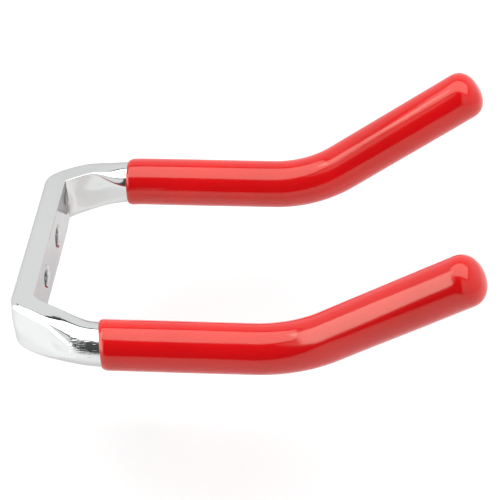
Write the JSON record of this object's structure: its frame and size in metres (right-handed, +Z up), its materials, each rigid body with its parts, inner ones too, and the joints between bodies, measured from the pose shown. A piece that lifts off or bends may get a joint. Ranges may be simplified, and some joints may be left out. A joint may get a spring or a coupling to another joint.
{
  "type": "double-arm wall hook",
  "caption": "Bent chromed steel tube wall hook with a pressed, screw-fixed back bar and parallel upturned arms in soft red vinyl sleeves.",
  "frame": {"origin": "centre of the back bar's wall face, midway between the arms and at mid height of the bar", "axes": "+Y points into the wall, -Y runs along the arms away from the wall, +Z is up, +X is towards the right arm as seen by someone facing the wall"},
  "size_m": [0.1294, 0.1701, 0.0578],
  "materials": {
    "chrome_plate": "bright chrome plate over pressed and bent steel tube",
    "red_vinyl": "glossy dip-moulded soft vinyl"
  },
  "bodies": {
    "root": {"tube_bracket": "chrome_plate", "left_sleeve": "red_vinyl", "right_sleeve": "red_vinyl"}
  },
  "joints": []
}
